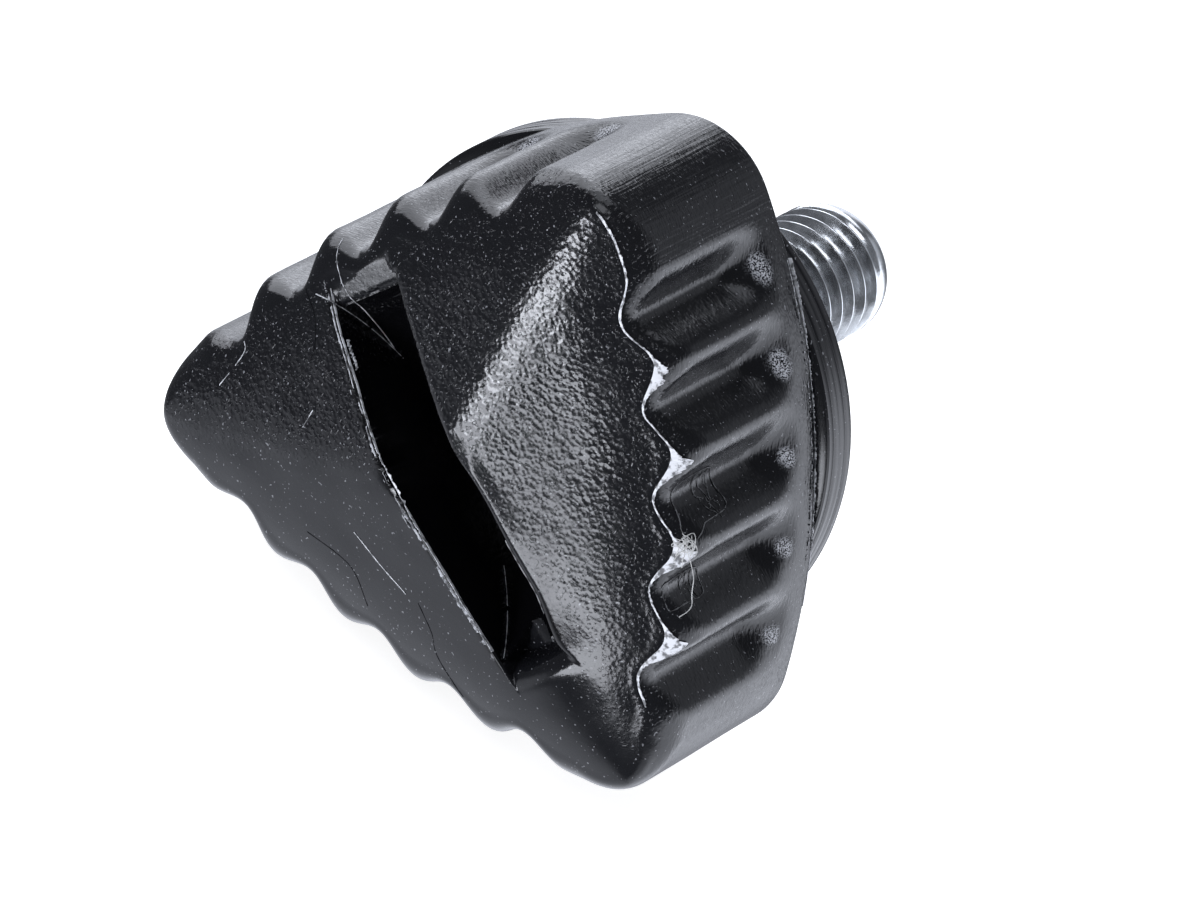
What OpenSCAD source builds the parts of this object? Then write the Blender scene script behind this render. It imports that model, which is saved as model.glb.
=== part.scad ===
// Fairing bolt: a three-sided moulded grip with fluted sides, a coin slot across its
// low pyramid front and a round seating collar, moulded on to a steel hexagon bolt.
// The seating face of the collar lies in the plane Y = 0 and the thread runs along +Y.
// The bolt lies on one of its sides, with a corner of the grip up (+Z).

/* [Grip outline] */
// Axis to the middle of a side, over the crests between the flutes
side_reach = 14.65; // [13:0.05:18]
// Radius of the bulge of each side
side_radius = 45; // [32:0.5:80]
// Rounding of the three corners, seen along the axis
corner_radius = 5.2; // [3:0.1:6]
// Height over the back of the grip at which its front faces would meet
grip_height = 16.5; // [14:0.05:28]

/* [Grip front] */
// Slope of each front face
face_slope = 15; // [6:0.5:16]
// Sharpness of the ridges between the front faces
ridge_sharpness = 0.9; // [0.5:0.1:3]
// Rounding of the front edges at the middle of a side
front_round = 3.2; // [2:0.1:4]
// Rounding of the front edges at the corners
corner_front_round = 1.1; // [0.8:0.1:4]
// Rounding of the back edges
back_round = 1; // [0.2:0.1:1.5]

/* [Flutes] */
// Flutes on each side
flutes_per_side = 5; // [3:1:5]
// Distance from one flute to the next
flute_pitch = 5.4; // [4:0.05:5.5]
// Depth of a flute under the crests
flute_depth = 1.85; // [0.5:0.05:2.4]
// Plain band between the flutes' round ends and the back of the grip
back_band = 2.3; // [1.6:0.1:6]
// Length over which a flute runs out at its round end
flute_run_out = 1.5; // [0.6:0.1:3]

/* [Coin slot] */
// Width of the slot
slot_width = 5; // [2:0.1:7]
// Radius of the wheel-shaped slot floor
slot_radius = 14.3; // [10:0.1:20]
// Depth of the slot at its middle, under the point where the front faces would meet
slot_depth = 7.7; // [4:0.1:8.4]

/* [Collar] */
// Diameter of the collar
collar_d = 30.6; // [20:0.1:40]
// Thickness of the collar
collar_t = 2.8; // [1.2:0.1:4]
// Bevel of the edges of the collar
collar_bevel = 0.3; // [0.1:0.05:0.6]

/* [Bolt] */
// Thread diameter
thread_d = 8; // [5:1:10]
// Length of the thread that stands out of the collar
thread_reach = 22.8; // [10:0.1:50]
// Bevel at the tip of the thread
tip_bevel = 1; // [0.3:0.1:1.5]
// Depth of the bolt head's underside behind the seating face
bolt_sink = 2.2; // [1.5:0.1:3.2]
// Step in radius from the thread down to the plain neck inside the grip
neck_step = 0.4; // [0.2:0.05:0.8]
// Width across the flats of the hexagonal bolt head
bolt_flats = 13; // [9:0.5:17]
// Height of the bolt head
bolt_head_h = 5.3; // [3:0.1:6]

/* [Seat relief] */
// Depth of the ring that keeps the seating face clear of the thread
relief_depth = 0.4; // [0.2:0.1:1]
// Gap between the thread and the wall of that ring
relief_gap = 0.5; // [0.2:0.1:1.5]

/* [Hidden] */
$fn = 96;

SIDES = 3;
SIDE_ANGLE = 360 / SIDES;
STEPS_PER_FLUTE = 8;
CORNER_STEPS = 7;
BACK_STEPS = 2;
RUN_OUT_STEPS = 4;
FRONT_STEPS = 6;
FACE_RINGS = 3;
SLOT_STEPS = 24;
// pieces that are fused or cut run this far into each other
OVERLAP = 0.05;

// distance from the axis back to the centre of a side's bulge
bulge_offset = side_radius - side_reach;
// distance from the axis to the centre of a corner's arc, which touches both bulges
corner_offset = let (b = 2 * bulge_offset * cos(SIDE_ANGLE / 2),
                     c = pow(bulge_offset, 2) - pow(side_radius - corner_radius, 2))
    (sqrt(b * b - 4 * c) - b) / 2;
// half the angle of a bulge, as far as the corner's arc, and half the angle of that arc
bulge_half = asin(corner_offset * sin(SIDE_ANGLE / 2) / (side_radius - corner_radius));
corner_half = SIDE_ANGLE / 2 - bulge_half;
// angle of a bulge that the flutes take up
flute_angle = flute_pitch / side_radius * 180 / PI;
fluted_half = min(flutes_per_side * flute_angle / 2, bulge_half - 0.1);

peak_z = collar_t + grip_height;
// the back of the grip lies just inside the collar, so that the two are one solid
back_z = collar_t - OVERLAP;
flute_end_z = collar_t + back_band;
slot_floor_z = peak_z - slot_depth;
thread_r = thread_d / 2;

function unit(a) = [cos(a), sin(a)];

function turned(p, a) = [p.x * cos(a) - p.y * sin(a), p.x * sin(a) + p.y * cos(a)];

// depth of the flutes at an angle along a bulge, as a share of the full depth
function wave(a) = abs(a) > fluted_half ? 0 :
    (1 + cos(360 * a / flute_angle + (flutes_per_side % 2 == 0 ? 180 : 0))) / 2;

// stations round one third of the outline, along the bulge that is centred on +X and then
// round the corner after it, each [point, outward angle, flute share, front rounding]
fluted_steps = flutes_per_side * STEPS_PER_FLUTE;
bulge_angles = concat([-bulge_half],
    [for (i = [0:fluted_steps]) fluted_half * (2 * i / fluted_steps - 1)], [bulge_half]);
corner_angles = [for (i = [1:CORNER_STEPS - 1])
    SIDE_ANGLE / 2 + corner_half * (2 * i / CORNER_STEPS - 1)];
third = concat(
    [for (a = bulge_angles)
        [[-bulge_offset, 0] + side_radius * unit(a), a, wave(a), edge_round(a)]],
    [for (a = corner_angles)
        [corner_offset * unit(SIDE_ANGLE / 2) + corner_radius * unit(a), a, 0, edge_round(a)]]);
stations = [for (i = [0:SIDES - 1]) for (s = third)
    [turned(s[0], i * SIDE_ANGLE), s[1] + i * SIDE_ANGLE, s[2], s[3]]];

// rounding of the front edge at an angle from the middle of a side
function edge_round(a) = let (corner = pow(sin(a * 90 / (SIDE_ANGLE / 2)), 2))
    front_round + (corner_front_round - front_round) * corner;

// a station's point, moved inward by inset, or by a share of the flute if that is deeper
function wall_point(s, inset, share) =
    s[0] - max(inset, share * flute_depth * s[2]) * unit(s[1]);

// height of the front over a point: three sloping faces, blended at their ridges
function front_height(p) = let (
        reach = [for (i = [0:SIDES - 1]) p * unit(i * SIDE_ANGLE)],
        blended = ln([for (r = reach) exp(ridge_sharpness * r)] * [1, 1, 1]) / ridge_sharpness)
    peak_z - tan(face_slope) * blended;

function back_ring(t) = [for (s = stations) let (p = wall_point(s, back_round * (1 - sin(t)), 0))
    [p.x, p.y, back_z + back_round * (1 - cos(t))]];

function run_out_ring(t) = [for (s = stations) let (p = wall_point(s, 0, sin(t)))
    [p.x, p.y, flute_end_z + flute_run_out * (1 - cos(t))]];

// where the rounded front edge meets the sloping face
function face_edge(s) = wall_point(s, s[3] * (1 - sin(face_slope)), 0);

// t runs from 0, on the wall, to 90 - face_slope, on the face
function front_ring(t) = [for (s = stations) let (p = wall_point(s, s[3] * (1 - cos(t)), 1))
    [p.x, p.y, front_height(face_edge(s)) - s[3] * (cos(face_slope) - sin(t))]];

function face_ring(share) = [for (s = stations) let (p = share * face_edge(s))
    [p.x, p.y, front_height(p)]];

// rings of points from the back of the grip to its peak
rings = concat(
    [for (i = [0:BACK_STEPS]) back_ring(90 * i / BACK_STEPS)],
    [for (i = [0:RUN_OUT_STEPS]) run_out_ring(90 * i / RUN_OUT_STEPS)],
    [for (i = [0:FRONT_STEPS]) front_ring((90 - face_slope) * i / FRONT_STEPS)],
    [for (i = [1:FACE_RINGS - 1]) face_ring(1 - i / FACE_RINGS)]);

// a solid through rings of equally many points, closed by fans to a foot and a peak
module loft(rings, foot, peak) {
    n = len(rings[0]);
    last = len(rings) - 1;
    at_foot = (last + 1) * n;
    at_peak = at_foot + 1;
    polyhedron(
        points = concat([for (r = rings) each r], [foot, peak]),
        faces = [for (i = [0:n - 1]) let (j = (i + 1) % n) each concat(
            [[i, j, at_foot], [last * n + i, at_peak, last * n + j]],
            [for (k = [0:last - 1]) [k * n + i, (k + 1) * n + i, (k + 1) * n + j]],
            [for (k = [0:last - 1]) [k * n + i, (k + 1) * n + j, k * n + j]])]);
}

module fluted_body() {
    loft(rings, [0, 0, back_z], [0, 0, front_height([0, 0])]);
}

// the slot is cut by the lower half of a wheel
module coin_slot() {
    rotate([90, 0, 0]) linear_extrude(slot_width, center = true) polygon(
        [for (i = [0:SLOT_STEPS])
            [0, slot_floor_z + slot_radius] + slot_radius * unit(180 + 180 * i / SLOT_STEPS)]);
}

module collar() {
    r = collar_d / 2;
    rotate_extrude() polygon([
        [0, 0], [r - collar_bevel, 0], [r, collar_bevel],
        [r, collar_t - collar_bevel], [r - collar_bevel, collar_t], [0, collar_t]]);
}

module bolt_shape() {
    translate([0, 0, bolt_sink]) cylinder(d = bolt_flats / cos(30), h = bolt_head_h, $fn = 6);
    neck_r = thread_r - neck_step;
    rotate_extrude() polygon([
        [0, -thread_reach], [thread_r - tip_bevel, -thread_reach],
        [thread_r, -thread_reach + tip_bevel], [thread_r, 0],
        [neck_r, 0], [neck_r, bolt_sink + OVERLAP], [0, bolt_sink + OVERLAP]]);
}

module seat_relief() {
    translate([0, 0, -OVERLAP])
        cylinder(r = thread_r + relief_gap, h = relief_depth + OVERLAP);
}

// the modules above have the thread along -Z; here it is turned to +Y
module lay_down() {
    rotate([90, 0, 0]) children();
}

module grip() {
    color("#1b1c1f") lay_down() difference() {
        union() {
            rotate(SIDE_ANGLE / 4) fluted_body();
            collar();
        }
        rotate(-SIDE_ANGLE / 4) coin_slot();
        bolt_shape();
        seat_relief();
    }
}

module threaded_bolt() {
    color("#c9ccd0") lay_down() bolt_shape();
}

grip();
threaded_bolt();
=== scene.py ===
"""Fairing bolt: a black moulded grip with three fluted sides, a coin slot across its low
front and a round collar behind, on a zinc-plated threaded stud.

The stud's axis is the Y axis. The collar seats in the plane Y = 0 and the stud points along
+Y. In this file, "front" is how far a point lies in front of that plane, towards -Y.
"""

import math

import bmesh
import bpy
from bpy.props import FloatProperty, FloatVectorProperty, PointerProperty
from mathutils import Matrix, Vector, noise
from mathutils.bvhtree import BVHTree


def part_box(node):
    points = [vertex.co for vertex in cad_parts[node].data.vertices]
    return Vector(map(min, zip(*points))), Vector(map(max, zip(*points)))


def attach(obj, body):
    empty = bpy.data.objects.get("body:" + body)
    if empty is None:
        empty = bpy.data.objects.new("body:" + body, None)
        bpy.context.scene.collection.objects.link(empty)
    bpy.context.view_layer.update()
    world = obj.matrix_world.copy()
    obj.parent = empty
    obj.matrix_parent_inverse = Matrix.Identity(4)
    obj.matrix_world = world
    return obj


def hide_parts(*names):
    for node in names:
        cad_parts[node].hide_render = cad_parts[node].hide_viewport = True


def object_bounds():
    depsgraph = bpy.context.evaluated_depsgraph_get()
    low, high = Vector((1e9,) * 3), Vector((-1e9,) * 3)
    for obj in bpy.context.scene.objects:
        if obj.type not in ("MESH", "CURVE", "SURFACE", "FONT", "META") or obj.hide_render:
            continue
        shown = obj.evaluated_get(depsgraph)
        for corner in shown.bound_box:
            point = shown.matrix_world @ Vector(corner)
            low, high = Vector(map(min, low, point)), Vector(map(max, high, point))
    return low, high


bl_info = {
    "name": "Fairing bolt",
    "version": (1, 0, 0),
    "blender": (4, 5, 0),
    "location": "3D View > Sidebar > Fairing bolt",
    "description": "Builds a moulded fairing bolt round its CAD frame",
    "category": "Object",
}

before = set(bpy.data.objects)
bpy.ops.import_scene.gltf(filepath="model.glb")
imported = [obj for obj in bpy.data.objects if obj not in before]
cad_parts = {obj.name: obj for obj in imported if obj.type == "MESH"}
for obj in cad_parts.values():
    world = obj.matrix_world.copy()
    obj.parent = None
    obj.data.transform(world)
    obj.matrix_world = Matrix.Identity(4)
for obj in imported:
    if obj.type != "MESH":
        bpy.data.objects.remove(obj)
CAD_LOW, CAD_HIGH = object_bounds()
GRIP_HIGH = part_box("grip")[1]
STUD_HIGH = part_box("threaded_bolt")[1]

MM = 0.001
BODY = "root"
SIDES = 3
SIDE_ANGLE = math.tau / SIDES
FLUTES = 5
# directions, in the plane across the stud, that the middles of the sides face
SIDE_FACES = [math.radians(30 + 120 * i) for i in range(SIDES)]
SLOT_DIRECTION = math.radians(-30)
TOP = math.radians(90)

# a line that has no gaps, where others have more gaps the higher their number is
WHOLE = -9.0
# faint rings left by the mould in the flutes: middle, half length along the stud and half
# width across the flutes, in millimetres
RINGS = (((11.9, -12.7, 5.9), 2.0, 1.6), ((13.9, -13.6, 1.5), 1.8, 0.9))
# loose fibres caught on the flash, as points in millimetres
LINT_KNOT = (13.3, -15.1, 5.0)
LINT_TAILS = (
    ((13.3, -15.3, 5.0), (13.7, -14.9, 4.4), (14.3, -14.7, 3.4), (14.9, -14.4, 1.7),
     (15.1, -15.3, 1.1)),
    ((13.3, -15.3, 5.0), (13.7, -16.4, 4.7), (13.7, -17.1, 4.6)),
    ((13.3, -15.3, 5.0), (13.6, -15.5, 4.6), (13.9, -15.6, 4.2)),
    ((13.3, -15.2, 5.0), (13.2, -15.2, 5.2), (13.0, -15.1, 5.5)),
)
# scratches and hairs: points in millimetres, which are laid on the surface, width, and gaps
BRIGHT_SCRATCHES = (
    (((-3.16, -17.47, -6.81), (-1.1, -17.3, -7.5), (1.08, -17.14, -8.05)), 0.08, WHOLE),
    (((-8.52, -17.72, -3.33), (-8.5, -17.66, -2.7), (-8.49, -17.6, -2.1)), 0.06, WHOLE),
    (((-14.8, -16.2, -2.61), (-14.3, -16.37, -2.88), (-14.32, -16.52, -4.1),
      (-14.63, -16.72, -6.2)), 0.05, -0.2),
)
FAINT_SCRATCHES = (
    (((-5.91, -16.79, -9.38), (-2.7, -16.8, -9.33), (-1.01, -16.29, -11.23)), 0.06, WHOLE),
    (((1.96, -17.16, -7.99), (3.31, -16.82, -9.25), (4.1, -16.45, -10.63),
      (6.28, -15.97, -12.26)), 0.06, WHOLE),
    (((-13.13, -15.85, 2.49), (-11.34, -16.44, 1.74), (-10.24, -16.94, -0.1),
      (-10.81, -17.24, -3.39)), 0.07, WHOLE),
)
# a hair in the slot, as distances along the slot and across it in millimetres
SLOT_HAIR = (
    (-14.6, -1.2), (-13.4, -1.66), (-11.73, -1.66), (-10.3, -1.63), (-9.08, -2.0), (-7.3, -2.5),
)
# torn fins of flash along the slot's lower rim: distance outside the rim, start, end and
# height in millimetres, gaps, and a seed for the tearing
RIM_FINS = (
    (-0.02, -11.8, 9.8, 0.16, 0.9, 11),
    (0.13, -11.6, 10.3, 0.06, 0.45, 18),
    (-0.3, -8.9, -7.2, 0.3, 0.1, 25),
    (0.35, -12.4, -11.2, 0.3, 0.2, 37),
    (0.45, -6.5, 8.0, 0.1, -0.25, 31),
)

# where the front starts to fall further, and over what length, as shares of the side reach:
# towards the edges, and towards a corner
EDGE_DOME = (0.58, 0.26)
CORNER_DOME = (0.62, 0.66)
# where the front's extra blending begins and is full, towards the slot's corner
CORNER_SOFTENING = (0.4, 0.9)
# how far the grip sinks into the collar, so that no gap shows
SINK = 0.05 * MM
# pieces stay this far inside the CAD's box
BOX_MARGIN = 0.03 * MM
# the zone under the peak that holds the slot's lips, and how far out from the slot, in widths
# of a lip, its mesh is finer
LIP_ZONE = 6.5 * MM
FINE_LIP = 1.7
# slight waves of the moulded surface: how many a metre, and how high
WAVES = 260
WAVE_HEIGHT = 0.035 * MM
# the slot's edge at the end away from the corner is almost sharp
SHARP_END = 0.15 * MM
# the slot's level shelf: where it starts from the axis, and its fall across and along
SHELF_START = 10.8 * MM
SHELF_FALL_ACROSS = 0.05
SHELF_FALL_ALONG = 0.03
# how far from the slot's upper wall its swelling is felt
SWELL_REACH = 2.0 * MM
# depth of the thread, as a share of its pitch
THREAD_DEPTH = 0.6

# how finely the grip is drawn
FLUTE_STEPS = 24
PLAIN_STEPS = 3
CORNER_STEPS = 24
BACK_ROWS = 4
RUN_OUT_ROWS = 12
WALL_ROWS = 24
FRONT_ROWS = 14
FACE_ROWS = 46


# ---------------------------------------------------------------- sizes and colours


def length(name, millimetres, description):
    return FloatProperty(
        name=name,
        description=description,
        default=millimetres * MM,
        min=0.0,
        unit="LENGTH",
        precision=5,
    )


def colour(name, rgb, description):
    return FloatVectorProperty(
        name=name,
        description=description,
        subtype="COLOR",
        size=3,
        min=0.0,
        max=1.0,
        default=rgb,
    )


class GripSizes(bpy.types.PropertyGroup):
    """Sizes of the moulded grip and its collar"""

    side_reach: length("Side reach", 14.65, "Axis to the middle of a side, over the crests")
    side_radius: length("Side radius", 45, "Radius of the bulge of each side")
    corner_radius: length("Corner radius", 5.2, "Rounding of the corners, seen along the axis")
    height: length("Height", 16.5, "Back of the grip to where its front faces would meet")
    edge_dome: length("Edge dome", 0.42, "Extra fall of the front faces towards their edges")
    corner_softness: length("Corner softness", 0.9, "Extra blending towards the slot's corner")
    slot_corner_dome: length("Slot corner dome", 0.8, "Extra fall of the front at that corner")
    top_corner_dome: length("Top corner dome", 0.35, "Extra fall of the front at the top corner")
    face_slope: FloatProperty(
        name="Face slope",
        description="Slope of each front face",
        default=math.radians(15),
        subtype="ANGLE",
    )
    ridge_softness: length("Ridge softness", 1.11, "How broadly the front faces blend")
    front_round: length("Front rounding", 2.9, "Rounding of the front edges at a side's middle")
    valley_round: length("Valley rounding", 1.25, "Rounding of the front edges in the flutes")
    corner_front_round: length("Corner front rounding", 1.1, "The same at the corners")
    back_round: length("Back rounding", 0.35, "Rounding of the back edges")
    flute_pitch: length("Flute pitch", 5.4, "Distance from one flute to the next")
    flute_depth: length("Flute depth", 1.85, "Depth of a flute under the crests")
    back_band: length("Back band", 1.7, "Plain band between the flutes and the back")
    flute_run_out: length("Flute run-out", 3.0, "Length over which a flute runs out")
    top_wear: length("Top corner wear", 0.55, "How much lower the top corner is than the others")
    slot_width: length("Slot width", 4.6, "Width of the coin slot")
    slot_shift: length("Slot shift", 0.3, "How far the slot lies below the stud's axis")
    slot_lag: length("Slot lag", 0.6, "How far the slot lies away from its corner")
    slot_end_lip: length("Slot end lip", 2.2, "Rounding of the slot's edge at its ends")
    slot_shelf: length("Slot shelf", 1.35, "Level step at the slot's end away from the corner")
    slot_upper_lip: length("Slot upper lip", 0.6, "Rounding of the slot's upper edge")
    slot_lower_lip: length("Slot lower lip", 0.2, "Rounding of the slot's lower edge")
    slot_radius: length("Slot radius", 14.3, "Radius of the wheel-shaped slot floor")
    slot_depth: length("Slot depth", 7.7, "Depth of the slot at its middle")
    collar_diameter: length("Collar diameter", 30.6, "Diameter of the collar")
    collar_thickness: length("Collar thickness", 2.8, "Thickness of the collar")


class StudSizes(bpy.types.PropertyGroup):
    """Sizes of the threaded stud"""

    diameter: length("Thread diameter", 8, "Outer diameter of the thread")
    pitch: length("Pitch", 1.25, "Distance from one thread crest to the next")
    tip_bevel: length("Tip bevel", 1, "Bevel at the tip of the stud")


class FinishColours(bpy.types.PropertyGroup):
    """Colours of the bolt's finishes"""

    plastic: colour("Plastic", (0.0065, 0.0068, 0.0082), "Black moulded plastic")
    # painted highlight: the film's pale colour stands in for the light caught by the thin strips
    # of flash, the bright scratches and the slot's hair
    film: colour("Flash film", (0.86, 0.87, 0.90), "Thin torn flash that the light shows up")
    zinc: colour("Zinc", (0.86, 0.89, 0.92), "Zinc plating")
    lint: colour("Lint", (0.82, 0.82, 0.80), "Loose fibres")
    floor: colour("Floor", (0.9, 0.9, 0.9), "Studio floor")


# ---------------------------------------------------------------- small helpers


def smooth(value, low, high):
    """0 below low, 1 above high, and a smooth curve between."""
    share = min(max((value - low) / (high - low), 0.0), 1.0)
    return share * share * (3 - 2 * share)


def inside_frame(point):
    """The point, moved inside the CAD's box if it lies outside."""
    return Vector(
        min(max(value, low + BOX_MARGIN), high - BOX_MARGIN)
        for value, low, high in zip(point, CAD_LOW, CAD_HIGH)
    )


def along(angle):
    """The direction, (x, z), at an angle across the stud."""
    return Vector((math.cos(angle), math.sin(angle)))


def in_frame(place, front):
    """A point from its place across the stud, (x, z), and how far in front it lies."""
    return Vector((place.x, -front, place.y))


def plan(point):
    """The place across the stud, (x, z), of a point."""
    return Vector((point.x, point.z))


def side_place(point, side):
    """How far a point lies out from the axis towards a side, and how far along that side."""
    place, out = plan(point), along(SIDE_FACES[side])
    return place.dot(out), place.x * -out.y + place.y * out.x


def slot_place(point):
    """How far a point lies along the slot from the axis, and across it."""
    place, run = plan(point), along(SLOT_DIRECTION)
    return place.dot(run), place.x * -run.y + place.y * run.x


def slot_point(run, across):
    """The place across the stud, (x, z), at a distance along the slot and across it."""
    return run * along(SLOT_DIRECTION) + across * along(SLOT_DIRECTION + math.pi / 2)


def ragged(value, seed):
    """A smooth random number from -1 to 1 that changes with value."""
    return noise.fractal(Vector((value, seed * 7.31, 0.5)), 1.0, 2.0, 3)


def grit(value, seed):
    """The same, from 0 to 1."""
    return 0.5 + 0.5 * ragged(value, seed)


def drift(value, seed):
    """A smooth random step that changes with value; each of its parts is mostly within 1."""
    parts = [Vector((value, seed * 7.31, 0.5 + 3.7 * part)) for part in range(3)]
    return 1.5 * Vector([noise.noise(part) for part in parts])


def add_object(name, data):
    made = bpy.data.objects.new(name, data)
    bpy.context.scene.collection.objects.link(made)
    return made


def new_object(name, mesh_builder):
    """A mesh object made by a builder that fills a bmesh."""
    bm = bmesh.new()
    mesh_builder(bm)
    mesh = bpy.data.meshes.new(name)
    bm.to_mesh(mesh)
    bm.free()
    mesh.shade_smooth()
    return add_object(name, mesh)


def new_piece(name, mesh_builder, sharp_angle=None):
    """A piece of the bolt, shaded smooth, with sharp edges past an angle when one is given."""
    piece = new_object(name, mesh_builder)
    if sharp_angle is not None:
        shade(piece.data, sharp_angle)
    return piece


def shade(mesh, sharp_angle):
    """Shades a mesh smooth, with sharp edges where faces meet at more than an angle."""
    mesh.shade_smooth()
    mesh.set_sharp_from_angle(angle=sharp_angle)


def apply_modifiers(piece):
    """Replaces a piece's mesh with its mesh as the modifiers leave it."""
    graph = bpy.context.evaluated_depsgraph_get()
    finished = bpy.data.meshes.new_from_object(piece.evaluated_get(graph))
    piece.modifiers.clear()
    rough = piece.data
    piece.data = finished
    bpy.data.meshes.remove(rough)


def thicken(piece, thickness):
    """Gives a piece made of thin strips a thickness."""
    wall = piece.modifiers.new("wall", "SOLIDIFY")
    wall.thickness = thickness
    wall.offset = 0
    apply_modifiers(piece)
    shade(piece.data, math.radians(60))


def surface_of(piece):
    """A search tree over a piece's mesh, to lay marks on its surface."""
    bm = bmesh.new()
    bm.from_mesh(piece.data)
    tree = BVHTree.FromBMesh(bm)
    bm.free()
    return tree


def next_ring(bm, ring):
    """Extrudes a closed ring of vertices and returns the new ring in the same order."""
    edges = [bm.edges.get((a, b)) for a, b in zip(ring, ring[1:] + ring[:1])]
    made = bmesh.ops.extrude_edge_only(bm, edges=edges)["geom"]
    fresh = {v for v in made if isinstance(v, bmesh.types.BMVert)}
    return [
        next(e.other_vert(v) for e in v.link_edges if e.other_vert(v) in fresh) for v in ring
    ]


def put(ring, places):
    """Moves the vertices of a ring to their places."""
    for vertex, place in zip(ring, places):
        vertex.co = place


# ---------------------------------------------------------------- shape of the grip


class Station:
    """One point of the grip's outline: where it is and how the wall behaves there."""

    def __init__(self, place, facing, flute, rounding):
        self.place = place
        self.facing = facing
        self.flute = flute
        self.rounding = rounding

    def inset(self, grip, depth, share=1.0):
        """The station's place, moved inward by depth under a share of its flute."""
        return self.place - (depth + share * grip.flute_depth * self.flute) * self.facing

    def flat(self, grip):
        """How far in from the wall the rounded front edge meets the face."""
        return self.rounding * (1 - math.sin(grip.face_slope))


def corner_offset(grip):
    """Distance from the axis to the centre of a corner's arc, which touches both bulges."""
    offset = grip.side_radius - grip.side_reach
    half = offset * math.cos(SIDE_ANGLE / 2)
    reach = grip.side_radius - grip.corner_radius
    return math.sqrt(half * half - offset * offset + reach * reach) - half


def flute_share(grip, turn):
    """Depth of the flutes at an angle along a bulge, as a share of the full depth."""
    pitch = grip.flute_pitch / grip.side_radius
    if abs(turn) > FLUTES * pitch / 2:
        return 0.0
    return (1 + math.cos(math.tau * turn / pitch)) / 2


def edge_rounding(grip, turn):
    """Rounding of the front edge at an angle along a side: smaller in flutes and at corners."""
    corner = math.sin(turn * (math.pi / 2) / (SIDE_ANGLE / 2)) ** 2
    plain = grip.front_round + (grip.corner_front_round - grip.front_round) * corner
    return plain + (grip.valley_round - plain) * flute_share(grip, turn)


def bulge_end(grip):
    """Angle at which a side's bulge ends and the corner's arc begins."""
    reach = grip.side_radius - grip.corner_radius
    return math.asin(corner_offset(grip) * math.sin(SIDE_ANGLE / 2) / reach)


def side_station(grip, facing, turn):
    """The station where a side, or the corner at its end, faces an angle off its middle."""
    if abs(turn) <= bulge_end(grip) + 1e-9:
        place = grip.side_radius * along(facing + turn)
        place -= (grip.side_radius - grip.side_reach) * along(facing)
    else:
        corner = math.copysign(SIDE_ANGLE / 2, turn)
        place = corner_offset(grip) * along(facing + corner)
        place += grip.corner_radius * along(facing + turn)
    return Station(
        place, along(facing + turn), flute_share(grip, turn), edge_rounding(grip, turn)
    )


def turn_at(grip, distance):
    """The angle a side faces at a distance along it from its middle."""
    end = bulge_end(grip)
    past = max(abs(distance) - end * grip.side_radius, 0.0)
    turn = (abs(distance) - past) / grip.side_radius + past / grip.corner_radius
    return math.copysign(turn, distance)


def outline(grip):
    """Stations round the grip, side by side, each side with the corner that follows it."""
    bulge = bulge_end(grip)
    fluted = FLUTES * grip.flute_pitch / grip.side_radius / 2
    steps = FLUTES * FLUTE_STEPS
    turns = [-bulge + (bulge - fluted) * i / PLAIN_STEPS for i in range(PLAIN_STEPS)]
    turns += [fluted * (2 * i / steps - 1) for i in range(steps + 1)]
    turns += [fluted + (bulge - fluted) * (i + 1) / PLAIN_STEPS for i in range(PLAIN_STEPS)]
    corner = SIDE_ANGLE / 2 - bulge
    stations = []
    for facing in SIDE_FACES:
        stations += [side_station(grip, facing, turn) for turn in turns]
        for i in range(1, CORNER_STEPS):
            turn = SIDE_ANGLE / 2 + corner * (2 * i / CORNER_STEPS - 1)
            stations.append(side_station(grip, facing, turn))
    return stations


def peak(grip):
    """How far in front the front faces would meet."""
    return grip.collar_thickness + grip.height


def dome_fall(dome, reach, start, span):
    """Extra fall of the front, which grows with the square of the distance past a start."""
    return dome * (max(reach - start, 0.0) / span) ** 2


def face_height(grip, place):
    """Height of the front over a place: three sloping faces, blended at their ridges."""
    toward = place.dot(along(SLOT_DIRECTION)) / grip.side_reach
    soft = grip.ridge_softness + grip.corner_softness * smooth(toward, *CORNER_SOFTENING)
    reaches = [place.dot(along(facing)) for facing in SIDE_FACES]
    total = sum(math.exp(reach / soft) for reach in reaches)
    plain = peak(grip) - math.tan(grip.face_slope) * soft * math.log(total)
    fall = dome_fall(grip.edge_dome, max(reaches) / grip.side_reach, *EDGE_DOME)
    for dome, direction in ((grip.slot_corner_dome, SLOT_DIRECTION), (grip.top_corner_dome, TOP)):
        fall += dome_fall(dome, place.dot(along(direction)) / grip.side_reach, *CORNER_DOME)
    return plain - fall


def edge_height(grip, station, depth):
    """Height of the front at a station, moved inward by depth over the rounded edge."""
    flat = station.flat(grip)
    if depth >= flat:
        return face_height(grip, station.inset(grip, depth))
    radius = station.rounding
    rise = math.sqrt(max(radius * radius - (radius - max(depth, 0.0)) ** 2, 0.0))
    top = face_height(grip, station.inset(grip, flat))
    return top - radius * math.cos(grip.face_slope) + rise


def wear_top(grip, point):
    """The top corner stands a little lower than the other two."""
    drop = grip.top_wear * smooth(point.z, 0.55 * GRIP_HIGH.z, GRIP_HIGH.z)
    return point - Vector((0, 0, drop))


def back_point(grip, station, share):
    """A point of the rounded back edge, by its share of the way up."""
    turn = math.pi / 2 * share
    depth = grip.back_round * (1 - math.sin(turn))
    front = grip.collar_thickness - SINK + grip.back_round * (1 - math.cos(turn))
    return in_frame(station.inset(grip, depth, 0), front)


def flute_end(grip):
    """How far in front the flutes' round ends begin."""
    return grip.collar_thickness + grip.back_band


def run_out_point(grip, station, share):
    """A point of the flutes' round ends, where the flutes get deeper with the share."""
    early = -0.12
    first = smooth(0, early, 1.0)
    full = (smooth(share, early, 1.0) - first) / (1 - first)
    return in_frame(station.inset(grip, 0, full), flute_end(grip) + grip.flute_run_out * share)


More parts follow.
